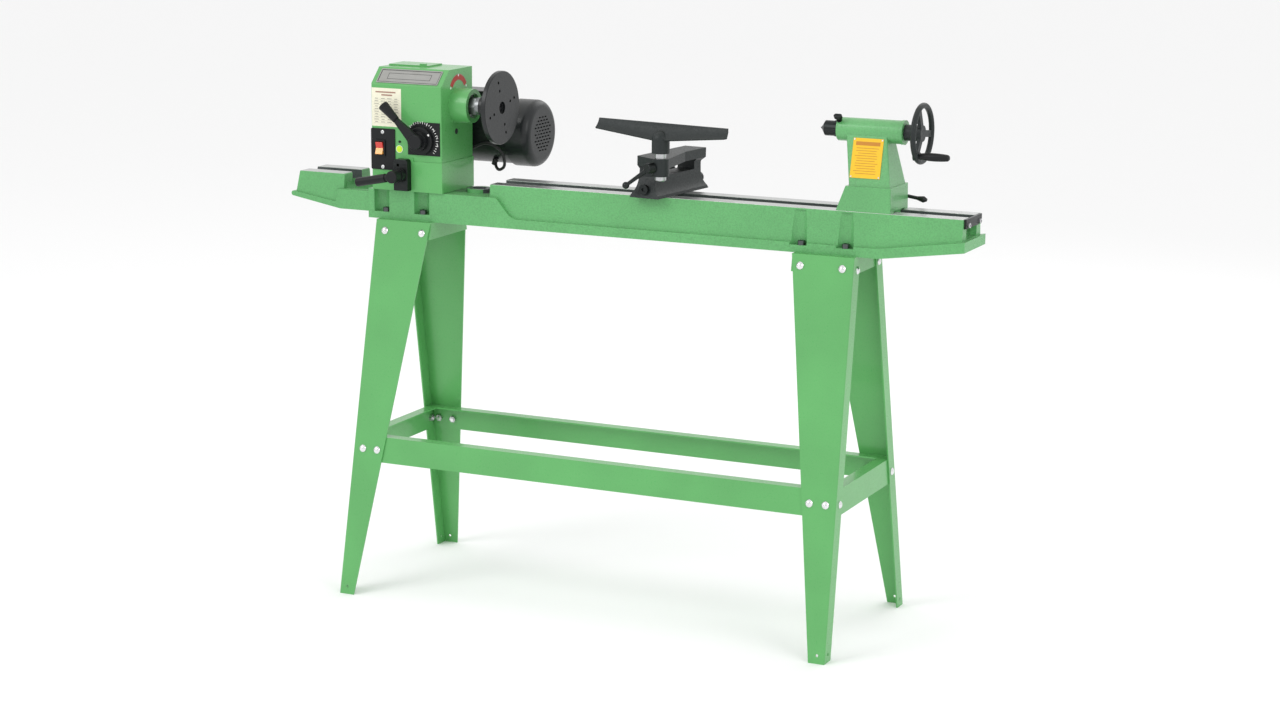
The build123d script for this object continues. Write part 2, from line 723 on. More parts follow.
grip_axis = Plane(origin=dial_front.offset(22.0).origin, x_dir=(0, 1, 0),
                  z_dir=(cos(radians(lever_angle)), 0, sin(radians(lever_angle))))
with BuildPart() as speed_grip:
    with BuildSketch(grip_axis.offset(grip_near + 0.02)):
        Circle(7.5)
    with BuildSketch(grip_axis.offset(grip_far - 3)):
        Circle(11.0)
    loft()
    with BuildSketch(grip_axis.offset(grip_far - 3)):
        Circle(11.0)
    extrude(amount=3.0)
    fillet(speed_grip.faces().sort_by(Axis.Z)[-1].edges(), 2.0)
    with BuildSketch(grip_axis.offset(grip_near + 12)):
        with PolarLocations(12.3, 8):
            Circle(2.6)
    extrude(amount=grip_far - grip_near - 20, mode=Mode.SUBTRACT)
speed_grip.part.label = "speed_grip"
export_step(speed_grip.part, "parts/speed_grip.step")

# crank inside the head that the speed shaft turns, with its shifting pin
crank_front = Plane(origin=(dial_x, -42, dial_z), x_dir=(1, 0, 0), z_dir=(0, 1, 0))
with BuildPart() as shift_crank:
    with BuildSketch(crank_front.offset(-6)):
        SlotCenterPoint((-12, -10), (0, 0), 20)
        Circle(9.02, mode=Mode.SUBTRACT)
    extrude(amount=7.0)
    with BuildSketch(crank_front.offset(1)):
        with Locations((-21, -17.5)):
            Circle(4)
    extrude(amount=12.0)
shift_crank.part.label = "shift_crank"
export_step(shift_crank.part, "parts/shift_crank.step")

# bracket and eccentric shaft that lock the head on its seat
with BuildPart() as lock_bracket:
    with BuildSketch(front_face.offset(1.5)) as bracket:
        with Locations(((-487 - 454) / 2, (843 + 909) / 2)):
            Rectangle(33, 66)
        fillet(bracket.vertices().group_by(Axis.Y)[-1], 7.0)
        with Locations((lock_x, lock_z)):
            Circle(7.05, mode=Mode.SUBTRACT)
        with Locations((-476, 897)):
            Circle(3.2, mode=Mode.SUBTRACT)
    extrude(amount=16.5)
    fillet(lock_bracket.faces().sort_by(Axis.Y)[0].outer_wire().edges(), 1.5)
lock_bracket.part.label = "lock_bracket"
export_step(lock_bracket.part, "parts/lock_bracket.step")

lock_front = Plane(origin=(lock_x, -head_half, lock_z), x_dir=(1, 0, 0), z_dir=(0, -1, 0))
lock_fall = 11.0          # degrees that the grip hangs below level
grip_dir = (-cos(radians(lock_fall)), 0, -sin(radians(lock_fall)))
lock_arm = Plane(origin=lock_front.offset(47).origin, x_dir=(0, 1, 0), z_dir=grip_dir)
with BuildPart() as head_lock_lever:
    with BuildSketch(lock_front.offset(18.6)):
        Circle(15)
    extrude(amount=14.0)
    with BuildSketch(lock_front.offset(32.6)):
        Circle(13)
    extrude(amount=24.0)
    fillet(head_lock_lever.faces().sort_by(Axis.Y)[0].edges(), 2.5)
    with BuildSketch(lock_arm):
        Circle(7.5)
    extrude(amount=24)
    with BuildSketch(lock_arm.offset(18)):
        Circle(9.2)
    extrude(amount=71)
    fillet(head_lock_lever.faces().sort_by(Axis.X)[0].edges(), 2.0)
    with BuildSketch(lock_front.offset(19)):
        Circle(7.0)
    extrude(amount=-52)
    with BuildSketch(lock_front.offset(-10)):
        with Locations((3, 0)):
            Circle(11)
    extrude(amount=-22)
head_lock_lever.part.label = "head_lock_lever"
export_step(head_lock_lever.part, "parts/head_lock_lever.step")

# ---------------------------------------------------------------- spindle
with BuildPart() as spindle_bearings:
    for plane in (nose_bearing, tail_bearing):
        with BuildSketch(plane):
            Circle(bearing_r)
            Circle(shaft_r + 0.05, mode=Mode.SUBTRACT)
        extrude(amount=bearing_width)
        for face in (plane, plane.offset(bearing_width - 2)):
            with BuildSketch(face):
                Circle(22)
                Circle(17, mode=Mode.SUBTRACT)
            extrude(amount=2, mode=Mode.SUBTRACT)
spindle_bearings.part.label = "spindle_bearings"
export_step(spindle_bearings.part, "parts/spindle_bearings.step")


def along_x(x, z=axis_z, y=0.0):
    """Plane square to the bed at x, looking towards the tailstock."""
    return Plane(origin=(x, y, z), x_dir=(0, 1, 0), z_dir=(1, 0, 0))


nose_end = faceplate_front - 9.0
with BuildPart() as spindle_shaft:
    with BuildSketch(along_x(head_left + 2)):
        Circle(shaft_r)
    extrude(amount=bearing_in - head_left - 2)
    with BuildSketch(along_x(bearing_in)):
        Circle(12.7)
    extrude(amount=nose_end - bearing_in)
    chamfer(spindle_shaft.faces().sort_by(Axis.X)[-1].edges(), 1.5)
    with BuildSketch(along_x(nose_end)):
        Circle(8.9)
    extrude(amount=-60, taper=1.4, mode=Mode.SUBTRACT)
    chamfer(spindle_shaft.faces().sort_by(Axis.X)[0].edges(), 1.5)
spindle_shaft.part.label = "spindle_shaft"
export_step(spindle_shaft.part, "parts/spindle_shaft.step")

with BuildPart() as spindle_nut:
    with BuildSketch(along_x(bearing_in + 0.5)):
        RegularPolygon(17, 6, major_radius=False)
        Circle(12.75, mode=Mode.SUBTRACT)
    extrude(amount=20)
    with BuildSketch(along_x(bearing_in + 20.5)):
        Circle(18.5)
        Circle(12.75, mode=Mode.SUBTRACT)
    extrude(amount=9)
spindle_nut.part.label = "spindle_nut"
export_step(spindle_nut.part, "parts/spindle_nut.step")


def groove_half(pulley_radius, inner):
    """Half width of the belt's groove at its floor, so that the cones just clear the belt."""
    return belt_width / 2 + 0.5 - (pulley_radius - inner) * cone_slope


def spindle_flange(x, toward, bore, hub):
    """Half of the variable pulley; its cone faces the belt and starts at x on the floor radius.

    toward is +1 when the flange lies on the tailstock side of the belt."""
    rise = (spindle_rim - groove_floor) * cone_slope
    back = x + toward * (rise + 5.0)
    hub_end = back + toward * 9.0
    with BuildPart() as flange:
        with BuildSketch(spindle_section):
            with BuildLine():
                Polyline((x, bore), (x, groove_floor), (x + toward * rise, spindle_rim),
                         (back, spindle_rim), (back, hub), (hub_end, hub), (hub_end, bore),
                         close=True)
            make_face()
        revolve(axis=spindle_axis)
    return flange


cone_slope = tan(radians(13))
slide_gap = 4.5           # room that the moving half keeps from the belt
spindle_rim = spindle_pulley_r + belt_depth + 3
groove_floor = 16.0
spindle_axis = Axis((0, 0, axis_z), (1, 0, 0))
spindle_section = Plane(origin=(0, 0, axis_z), x_dir=(1, 0, 0), z_dir=(0, -1, 0))
groove = groove_half(spindle_pulley_r, groove_floor)
spindle_sheave_fixed = spindle_flange(belt_x - groove, -1, shaft_r + 0.02, 19)
spindle_sheave_fixed.part.label = "spindle_sheave_fixed"
export_step(spindle_sheave_fixed.part, "parts/spindle_sheave_fixed.step")

spindle_sheave_sliding = spindle_flange(belt_x + groove + slide_gap, 1, shaft_r + 0.05, 20)
spindle_sheave_sliding.part.label = "spindle_sheave_sliding"
export_step(spindle_sheave_sliding.part, "parts/spindle_sheave_sliding.step")

hole_turn = 17.0
hole_rings = (37.0, 55.0)
with BuildPart() as faceplate:
    with BuildSketch(along_x(faceplate_front)):
        Circle(faceplate_r)
    extrude(amount=-faceplate_thick)
    fillet(faceplate.edges(), 1.6)
    hub_start = bearing_in + 30.5
    with BuildSketch(along_x(hub_start)):
        Circle(24)
    extrude(amount=faceplate_front - 5 - hub_start)
    chamfer(faceplate.faces().sort_by(Axis.X)[0].edges(), 2.0)
    with BuildSketch(along_x(hub_start)):
        Circle(12.75)
    extrude(amount=60, mode=Mode.SUBTRACT)
    with BuildSketch(along_x(faceplate_front)):
        for ring in hole_rings:
            with PolarLocations(ring, 4, start_angle=hole_turn):
                Circle(3.2)
    extrude(amount=-faceplate_thick, mode=Mode.SUBTRACT)
faceplate.part.label = "faceplate"
export_step(faceplate.part, "parts/faceplate.step")

# ---------------------------------------------------------------- belt drive and motor
with BuildPart() as drive_belt:
    for grow, mode in ((belt_depth, Mode.ADD), (0.0, Mode.SUBTRACT)):
        with BuildSketch(along_x(belt_x - belt_width / 2, z=0)):
            with Locations((0, axis_z)):
                Circle(spindle_pulley_r + grow)
            with Locations((motor_y, motor_z)):
                Circle(motor_pulley_r + grow)
            make_hull()
        extrude(amount=belt_width, mode=mode)
drive_belt.part.label = "drive_belt"
export_step(drive_belt.part, "parts/drive_belt.step")

housing_left = head_left + 8.0
housing_low = 893.0
housing_back = 201.0


def housing_outline(inset):
    """Side outline of the belt housing behind the head."""
    front = head_half - (2.0 if inset else 0.0)
    return [(front, housing_low + inset), (housing_back - inset, housing_low + inset),
            (housing_back - inset, 1004 - inset), (150 - inset / 2, 1078 - inset),
            (front, 1078 - inset)]


with BuildPart() as belt_housing:
    with BuildSketch(Plane.YZ.offset(housing_left)) as shell:
        with BuildLine():
            Polyline(*housing_outline(0.0), close=True)
        make_face()
        for corner in housing_outline(0.0)[1:4]:
            fillet(near(shell.vertices(), *corner), 14.0)
    extrude(amount=housing_right - housing_left)
    with BuildSketch(Plane.YZ.offset(housing_left + 3)) as hollow:
        with BuildLine():
            Polyline(*housing_outline(3.0), close=True)
        make_face()
        for corner in housing_outline(3.0)[1:4]:
            fillet(near(hollow.vertices(), *corner), 11.0)
    extrude(amount=housing_right - housing_left - 7, mode=Mode.SUBTRACT)
    with BuildSketch(along_x(housing_right, z=motor_z, y=motor_y)):
        Circle(14)
    extrude(amount=-5, mode=Mode.SUBTRACT)
    with Locations(Plane(origin=(housing_right, 76.5, 905), z_dir=(1, 0, 0))):
        Hole(3.3, depth=5)
belt_housing.part.label = "belt_housing"
export_step(belt_housing.part, "parts/belt_housing.step")

motor_axis = Axis((0, motor_y, motor_z), (1, 0, 0))
motor_section = Plane(origin=(0, motor_y, motor_z), x_dir=(1, 0, 0), z_dir=(0, -1, 0))
cowl_start = -300.0
stator_r = 37.0
motor_shaft_r = 8.0
with BuildPart() as motor_body:
    with BuildSketch(along_x(housing_right, z=motor_z, y=motor_y)):
        Circle(58)
    extrude(amount=12)
    with BuildSketch(along_x(housing_right + 8, z=motor_z, y=motor_y)):
        Circle(motor_r)
    extrude(amount=cowl_start - housing_right - 8)
    fillet(motor_body.edges().filter_by(GeomType.CIRCLE).sort_by(Axis.X)[2], 4.0)
    with BuildSketch(along_x(housing_right + 12, z=motor_z, y=motor_y)):
        Circle(stator_r)
    extrude(amount=cowl_start - housing_right - 24, mode=Mode.SUBTRACT)
    with BuildSketch(along_x(housing_right, z=motor_z, y=motor_y)):
        Circle(motor_shaft_r + 0.05)
    extrude(amount=cowl_start - housing_right, mode=Mode.SUBTRACT)
motor_body.part.label = "motor_body"
export_step(motor_body.part, "parts/motor_body.step")

grille_r = 44.0
slot_pitch = 7.0
with BuildPart() as fan_cover:
    with BuildSketch(along_x(cowl_start - 12, z=motor_z, y=motor_y)):
        Circle(cowl_r)
    extrude(amount=motor_end - cowl_start + 12)
    fillet(fan_cover.faces().sort_by(Axis.X)[-1].edges(), 17.0)
    with BuildSketch(along_x(cowl_start - 13, z=motor_z, y=motor_y)):
        Circle(motor_r + 0.03)
    extrude(amount=13, mode=Mode.SUBTRACT)
    with BuildSketch(along_x(cowl_start, z=motor_z, y=motor_y)):
        Circle(cowl_r - 2.5)
    extrude(amount=motor_end - cowl_start - 17, mode=Mode.SUBTRACT)
    with BuildSketch(along_x(motor_end - 17.5, z=motor_z, y=motor_y)):
        Circle(cowl_r - 8)
    extrude(amount=15, taper=25, mode=Mode.SUBTRACT)
    rows = [i * slot_pitch for i in range(-5, 6)]
    slots = [(k * 13.0 + (6.5 if i % 2 else 0.0), row)
             for i, row in enumerate(rows) for k in range(-3, 4)]
    slots = [(a, b) for a, b in slots if hypot(abs(a) + 4.5, b) < grille_r]
    with BuildSketch(along_x(motor_end + 1, z=motor_z, y=motor_y)):
        with Locations(*slots):
            SlotOverall(9.0, 3.0)
    extrude(amount=-6, mode=Mode.SUBTRACT)
fan_cover.part.label = "fan_cover"
export_step(fan_cover.part, "parts/fan_cover.step")

with BuildPart() as motor_shaft:
    with BuildSketch(along_x(belt_x - 24, z=motor_z, y=motor_y)):
        Circle(motor_shaft_r)
    extrude(amount=motor_end - 12 - belt_x + 24)
    with BuildSketch(along_x(housing_right + 16, z=motor_z, y=motor_y)):
        Circle(stator_r - 0.6)
    extrude(amount=cowl_start - housing_right - 32)
motor_shaft.part.label = "motor_shaft"
export_step(motor_shaft.part, "parts/motor_shaft.step")

with BuildPart() as motor_fan:
    with BuildSketch(along_x(cowl_start + 6, z=motor_z, y=motor_y)):
        Circle(18)
    extrude(amount=18)
    with BuildSketch(along_x(cowl_start + 6, z=motor_z, y=motor_y)):
        Circle(56)
    extrude(amount=2)
    with BuildSketch(along_x(cowl_start + 6, z=motor_z, y=motor_y)):
        with PolarLocations(35, 8):
            Rectangle(38, 2.5)
    extrude(amount=16)
    with BuildSketch(along_x(cowl_start, z=motor_z, y=motor_y)):
        Circle(motor_shaft_r + 0.02)
    extrude(amount=30, mode=Mode.SUBTRACT)
motor_fan.part.label = "motor_fan"
export_step(motor_fan.part, "parts/motor_fan.step")

sheave_rim = motor_pulley_r + belt_depth + 3
with BuildPart() as motor_sheave:
    floor_r = 14.0
    floor_half = groove_half(motor_pulley_r, floor_r)
    edge = floor_half + (sheave_rim - floor_r) * cone_slope
    bore = motor_shaft_r + 0.02
    with BuildSketch(motor_section):
        with BuildLine():
            Polyline((belt_x - edge - 4, bore), (belt_x - edge - 4, sheave_rim),
                     (belt_x - edge, sheave_rim), (belt_x - floor_half, floor_r),
                     (belt_x + floor_half, floor_r), (belt_x + edge, sheave_rim),
                     (belt_x + edge + 4, sheave_rim), (belt_x + edge + 4, bore), close=True)
        make_face()
    revolve(axis=motor_axis)
motor_sheave.part.label = "motor_sheave"
export_step(motor_sheave.part, "parts/motor_sheave.step")

with BuildPart() as capacitor_box:
    with Locations((-400, motor_y, 1001)):
        Box(106, 72, 36, align=(Align.CENTER, Align.CENTER, Align.MIN))
    fillet(capacitor_box.edges().filter_by(Axis.Z), 6.0)
    fillet(capacitor_box.faces().sort_by(Axis.Z)[-1].edges(), 3.0)
    with BuildSketch(along_x(-460, z=motor_z, y=motor_y)):
        Circle(motor_r + 0.03)
    extrude(amount=120, mode=Mode.SUBTRACT)
capacitor_box.part.label = "capacitor_box"
export_step(capacitor_box.part, "parts/capacitor_box.step")

# motor lead: out of the belt housing, round the end of the motor and into its underside
lead_r = 3.2
lead_route = [(-472, 76.5, 905), (-436, 76.5, 902), (-398, 76.5, 915), (-352, 76.5, 936),
              (-316, 77.5, 916), (-312, 81, 884), (-331, 88, 873.5), (-346, 101, 881),
              (-350, 111, 896.5)]


def route_radii(points):
    """Largest arc at each inner corner that both of its runs allow."""
    radii = []
    for a, b, c in zip(points, points[1:], points[2:]):
        run_in = Vector(*b) - Vector(*a)
        run_out = Vector(*c) - Vector(*b)
        turn = radians(run_in.get_angle(run_out))
        radii.append(0.45 * min(run_in.length, run_out.length) / tan(turn / 2))
    return radii


lead_radii = route_radii(lead_route)
print("motor lead radii", [round(r, 1) for r in lead_radii])
with BuildPart() as motor_lead:
    with BuildLine() as lead_line:
        FilletPolyline(*lead_route, radius=lead_radii)
    start = lead_line.line ^ 0
    with BuildSketch(Plane(origin=start.position, z_dir=start.z_axis.direction)):
        Circle(lead_r)
    sweep()
lead_length = lead_line.wires()[0].length
print("motor lead length", round(lead_length), "volume / length",
      round(motor_lead.part.volume / lead_length, 2), "section", round(pi * lead_r ** 2, 2))
motor_lead.part.label = "motor_lead"
export_step(motor_lead.part, "parts/motor_lead.step")

# ---------------------------------------------------------------- tool rest
turn = radians(rest_turn)
rest_u = (cos(turn), sin(turn), 0)
rest_v = (-sin(turn), cos(turn), 0)


def rest_point(u, v, z=0.0):
    """Place in the rest base's own axes: u across the base, v along it."""
    return (rest_x + u * rest_u[0] + v * rest_v[0], u * rest_u[1] + v * rest_v[1], z)


def rest_level(z):
    return Plane(origin=rest_point(0, 0, z), x_dir=rest_u, z_dir=(0, 0, 1))


def rest_across(v):
    """Upright plane across the base; it looks towards the operator."""
    return Plane(origin=rest_point(0, v), x_dir=rest_u, z_dir=(-rest_v[0], -rest_v[1], 0))


def rest_along(u):
    return Plane(origin=rest_point(u, 0), x_dir=rest_v, z_dir=(rest_u[0], rest_u[1], 0))


base_top = 907.0
plate_low = 928.0
post_at = rest_point(post_u, post_v)
lock_dir = (-0.5, -0.866, 0)
lever_hub = (post_at[0] + 27 * lock_dir[0], post_at[1] + 27 * lock_dir[1], 930)
lock_screw = Plane(origin=lever_hub, z_dir=lock_dir)
boss_r_rest = 17.5
with BuildPart() as banjo:
    # section across the base: flared foot, web and top plate
    with BuildSketch(rest_across(130)):
        with BuildLine():
            right = Polyline((0, way_top), (33, way_top), (31.5, 871))
            flare = ThreePointArc((31.5, 871), (22.5, 885), (20, 903))
            upper = Polyline((20, 903), (19.5, 922), (25, plate_low), (25, banjo_top),
                             (0, banjo_top))
            mirror(about=Plane.YZ)
        make_face()
    extrude(amount=230)
    with BuildSketch(rest_along(0)):
        with BuildLine():
            Polyline((-82, way_top), (-78, 878), (-67, base_top), (-65, plate_low),
                     (-66, banjo_top), (124, banjo_top), (123, plate_low), (112, 920))
            ThreePointArc((112, 920), (112.5, 892), (121, way_top))
            Line((121, way_top), (-82, way_top))
        make_face()
    extrude(amount=40, both=True, mode=Mode.INTERSECT)
    # plate that widens to the post boss
    with BuildSketch(rest_level(plate_low)):
        with BuildLine():
            Polyline((-25, -66), (20, post_v - 12), (post_u, post_v - boss_r_rest),
                     (post_u + boss_r_rest, post_v), (26.5, 36), (-25, 36), close=True)
        make_face()
    extrude(amount=banjo_top - plate_low)
    with BuildSketch(rest_level(912)):
        with Locations((post_u, post_v)):
            Circle(boss_r_rest)
    extrude(amount=banjo_top - 912)
    # rib that ties the boss back to the web
    with BuildSketch(rest_level(914)):
        with BuildLine():
            Polyline((post_u - 6, post_v), (post_u + 14, post_v + 4), (19, -34), (0, -50),
                     close=True)
        make_face()
    extrude(amount=20)
    # window through the web, and the hollow foot that clears the clamp
    with BuildSketch(rest_along(-60)):
        with Locations((30, (base_top + plate_low) / 2)):
            RectangleRounded(110, plate_low - base_top, 3)
    extrude(amount=120, mode=Mode.SUBTRACT)
    with BuildSketch(rest_level(way_top)):
        with Locations((0, 19)):
            Rectangle(37, 160)
    extrude(amount=33, taper=3, mode=Mode.SUBTRACT)
    with BuildSketch(rest_across(130)):
        with Locations((0, rod_z)):
            Circle(8.05)
    extrude(amount=230, mode=Mode.SUBTRACT)
    with BuildSketch(rest_level(900)):
        with Locations((post_u, post_v)):
            Circle(post_r + 0.05)
    extrude(amount=60, mode=Mode.SUBTRACT)
    with BuildSketch(lock_screw):
        Circle(4.05)
    extrude(amount=-20, mode=Mode.SUBTRACT)
banjo.part.label = "banjo"
export_step(banjo.part, "parts/banjo.step")

# clamp shoe with its guide neck in the slot
shoe_low = 830.0
with BuildPart() as rest_clamp_shoe:
    with Locations((rest_x, 0, shoe_low)):
        Box(60, 82, rail_under - 0.4 - shoe_low, align=(Align.CENTER, Align.CENTER, Align.MIN))
        Box(44, 2 * rail_inner - 0.6, 861 - shoe_low,
            align=(Align.CENTER, Align.CENTER, Align.MIN))
        Cylinder(7.3, 200, mode=Mode.SUBTRACT)
rest_clamp_shoe.part.label = "rest_clamp_shoe"
export_step(rest_clamp_shoe.part, "parts/rest_clamp_shoe.step")

with BuildPart() as rest_stud:
    with Locations((rest_x, 0, 818)):
        Cylinder(7.0, rod_z - 818, align=(Align.CENTER, Align.CENTER, Align.MIN))
    with BuildSketch(Plane.XY.offset(shoe_low - 0.3)):
        with Locations((rest_x, 0)):
            RegularPolygon(11, 6, major_radius=False)
    extrude(amount=-10)
    with BuildSketch(rest_across(10)):
        with Locations((0, rod_z)):
            Circle(15)
    extrude(amount=20)
    with BuildSketch(rest_across(12)):
        with Locations((0, rod_z)):
            Circle(8.4)
    extrude(amount=24, mode=Mode.SUBTRACT)
rest_stud.part.label = "rest_stud"
export_step(rest_stud.part, "parts/rest_stud.step")

with BuildPart() as rest_cam_rod:
    with BuildSketch(rest_across(138)):
        with Locations((0, rod_z)):
            Circle(8.0)
    extrude(amount=219)
    with BuildSketch(rest_across(-80.5)):
        with Locations((0, rod_z)):
            Circle(10.0)
    extrude(amount=4)
    with BuildSketch(rest_across(-82)):
        with Locations((0, rod_z)):
            RegularPolygon(3.5, 6, major_radius=False)
    extrude(amount=4, mode=Mode.SUBTRACT)
    with BuildSketch(rest_across(138)):
        with Locations((0, rod_z)):
            Circle(12.0)
    extrude(amount=13)
    arm = Plane(origin=rest_point(0, 131, rod_z), x_dir=rest_v,
                z_dir=(-rest_u[0], -rest_u[1], 0.22))
    with BuildSketch(arm):
        Circle(4.0)
    extrude(amount=62)
    with Locations(arm.offset(62)):
        Sphere(8.0)
rest_cam_rod.part.label = "rest_cam_rod"
export_step(rest_cam_rod.part, "parts/rest_cam_rod.step")

stem_low = 958.0
with BuildPart() as rest_post:
    with Locations((post_at[0], post_at[1], 903)):
        Cylinder(post_r, 78, align=(Align.CENTER, Align.CENTER, Align.MIN))
    chamfer(rest_post.faces().sort_by(Axis.Z)[0].edges(), 1.5)
rest_post.part.label = "rest_post"
export_step(rest_post.part, "parts/rest_post.step")

blade_half = 152.5
blade_top = 1017.5
blade_u = (cos(radians(blade_turn)), sin(radians(blade_turn)), 0)


# distance along the blade, foot height and reach of the foot towards the operator
blade_middle = (0.0, 982.0, 13.0)
blade_tips = ((-blade_half, 997.0, 9.0), (blade_half, 997.0, 9.0))
with BuildPart() as tool_rest:
    for blade_tip in blade_tips:
        # section square to the blade: thin top edge, hollow front face, thick foot
        for distance, low, reach in (blade_middle, blade_tip):
            section_at = (post_at[0] + distance * blade_u[0],
                          post_at[1] + distance * blade_u[1], 0)
            with BuildSketch(Plane(origin=section_at, x_dir=(-blade_u[1], blade_u[0], 0),
                                   z_dir=blade_u)):
                with BuildLine():
                    Polyline((-reach, low + 2.5), (-reach + 2, low), (4, low), (9, low + 12),
                             (9, blade_top), (5, blade_top))
                    hollow_at = (1 - 0.3 * reach, low + 0.42 * (blade_top - low))
                    ThreePointArc((5, blade_top), hollow_at, (-reach, low + 2.5))
                make_face()
        loft(ruled=True)
    with Locations((post_at[0], post_at[1], stem_low)):
        Cylinder(18, 27, align=(Align.CENTER, Align.CENTER, Align.MIN))
    with Locations((post_at[0], post_at[1], stem_low + 27)):
        Sphere(18)
    with Locations((post_at[0], post_at[1], stem_low)):
        Cylinder(post_r + 0.03, 24, align=(Align.CENTER, Align.CENTER, Align.MIN),
                 mode=Mode.SUBTRACT)
tool_rest.part.label = "tool_rest"
export_step(tool_rest.part, "parts/tool_rest.step")

# lever that locks the post: its screw enters the boss from the front left
lever_ball = (55.0, -99.0, 891.5)
arm_vector = [b - a for a, b in zip(lever_hub, lever_ball)]
with BuildPart() as post_lock_lever:
    with BuildSketch(lock_screw.offset(-14.9)):
        Circle(4.0)
    extrude(amount=10)
    with BuildSketch(lock_screw.offset(-8.5)):
        Circle(10.5)
    extrude(amount=16)
    fillet(post_lock_lever.faces().sort_by(Axis.Y)[0].edges(), 2.0)
    with Locations(Plane(origin=lever_hub, z_dir=arm_vector)):
        Cone(4.6, 3.6, Vector(*arm_vector).length,
             align=(Align.CENTER, Align.CENTER, Align.MIN))
    with Locations(Plane(origin=lever_ball, z_dir=arm_vector)):
        Sphere(7.2)
post_lock_lever.part.label = "post_lock_lever"
export_step(post_lock_lever.part, "parts/post_lock_lever.step")

# ---------------------------------------------------------------- tailstock
base_left = 484.0
base_right = 597.0
knee_z = 914.5
tail_half = 51.5
lock_at = Plane(origin=(476, 0, axis_z), x_dir=(1, 0, 0), z_dir=(0, -1, 1))
with BuildPart() as tailstock_casting:
    with BuildSketch(Plane.XZ):
        with BuildLine():
            Polyline((base_left, way_top), (base_right, way_top), (base_right - 1, knee_z),
                     (503, knee_z), close=True)
        make_face()
    extrude(amount=tail_half, both=True)
    upright = tailstock_casting.edges().filter_by(Axis.Y, reverse=True).filter_by(Axis.X, reverse=True)
    fillet(upright, 2.5)
    for z, left, right, half in ((knee_z - 1, 508.3, 592.7, 46.5), (1014.0, 491.0, 575.0, 20.5)):
        with BuildSketch(Plane.XY.offset(z)):
            with Locations(((left + right) / 2, 0)):
                RectangleRounded(right - left, 2 * half, 3.0)
    loft()
    with BuildSketch(along_x(barrel_left)):
        Circle(barrel_r)
    extrude(amount=barrel_right - barrel_left)
    with BuildSketch(along_x(barrel_right)):
        Circle(barrel_r + 1)
    extrude(amount=6)
    with BuildSketch(lock_at):
        Circle(5.9)
    extrude(amount=25.5)
    # guide tongue in the slot, and relief between the two feet
    with Locations((540.5, 0, way_top)):
        Box(108, 60, 6, mode=Mode.SUBTRACT)
        Box(120, 60, 5, mode=Mode.SUBTRACT)
    with Locations((540.5, 0, 856)):
        Box(106, 2 * rail_inner - 0.7, 14, align=(Align.CENTER, Align.CENTER, Align.MIN))
    # clamp pocket, its rod bore and the quill bore
    with Locations((tail_x, 0, 840)):
        Box(42, 72, 70, align=(Align.CENTER, Align.CENTER, Align.MIN), mode=Mode.SUBTRACT)
    with BuildSketch(Plane.XZ.offset(46)):
        with Locations((tail_x, tail_rod_z)):
            Circle(8.05)
    extrude(amount=-110, mode=Mode.SUBTRACT)
    with BuildSketch(along_x(barrel_left)):
        Circle(quill_r + 0.05)
    extrude(amount=118, mode=Mode.SUBTRACT)
    with BuildSketch(along_x(barrel_left)):
        Circle(7.1)
    extrude(amount=150, mode=Mode.SUBTRACT)
    with BuildSketch(lock_at):
        Circle(4.05)
    extrude(amount=40, mode=Mode.SUBTRACT)
tailstock_casting.part.label = "tailstock_casting"
export_step(tailstock_casting.part, "parts/tailstock_casting.step")

with BuildPart() as tail_clamp_shoe:
    with Locations((tail_x, 0, shoe_low)):
        Box(60, 82, rail_under - 0.4 - shoe_low, align=(Align.CENTER, Align.CENTER, Align.MIN))
    with Locations((tail_x, 0, 822)):
        Cylinder(7, tail_rod_z - 822, align=(Align.CENTER, Align.CENTER, Align.MIN))
    with BuildSketch(Plane.XY.offset(shoe_low)):
        with Locations((tail_x, 0)):
            RegularPolygon(11, 6, major_radius=False)
    extrude(amount=-8)
    with BuildSketch(Plane.XZ.offset(-10)):
        with Locations((tail_x, tail_rod_z)):
            Circle(15)
    extrude(amount=20)
    with BuildSketch(Plane.XZ.offset(-12)):
        with Locations((tail_x, tail_rod_z)):
            Circle(8.4)
    extrude(amount=24, mode=Mode.SUBTRACT)
tail_clamp_shoe.part.label = "tail_clamp_shoe"
export_step(tail_clamp_shoe.part, "parts/tail_clamp_shoe.step")

tail_lever_y = 61.0
with BuildPart() as tail_clamp_lever:
    with BuildSketch(Plane.XZ.offset(45)):
        with Locations((tail_x, tail_rod_z)):
            Circle(8.0)
    extrude(amount=-45 - tail_lever_y)
    with BuildSketch(Plane.XZ.offset(-54)):
        with Locations((tail_x, tail_rod_z)):
            Circle(12.0)
    extrude(amount=-14)
    fillet(tail_clamp_lever.faces().sort_by(Axis.Y)[-1].edges(), 2.0)
    lever_line = Plane(origin=(tail_x, tail_lever_y, tail_rod_z), x_dir=(0, 1, 0),
                       z_dir=(1, 0, -0.14))
    with BuildSketch(lever_line):
        Circle(3.6)
    extrude(amount=66)
    with BuildSketch(lever_line.offset(62)):
        Circle(3.6)
    with BuildSketch(lever_line.offset(76)):
        Circle(6.6)
    loft()
    with BuildSketch(lever_line.offset(76)):
        Circle(6.6)
    with BuildSketch(lever_line.offset(83)):
        Circle(3.0)
    loft()
tail_clamp_lever.part.label = "tail_clamp_lever"
export_step(tail_clamp_lever.part, "parts/tail_clamp_lever.step")

quill_front = barrel_left - 2.0
with BuildPart() as quill:
    with BuildSketch(along_x(quill_front)):
        Circle(quill_r)
    extrude(amount=117)
    chamfer(quill.faces().sort_by(Axis.X)[0].edges(), 1.0)
    with BuildSketch(along_x(quill_front)):
        Circle(8.9)
    extrude(amount=40, taper=1.4, mode=Mode.SUBTRACT)
    with BuildSketch(along_x(quill_front + 44)):
        Circle(7.4)
    extrude(amount=80, mode=Mode.SUBTRACT)
quill.part.label = "quill"
export_step(quill.part, "parts/quill.step")

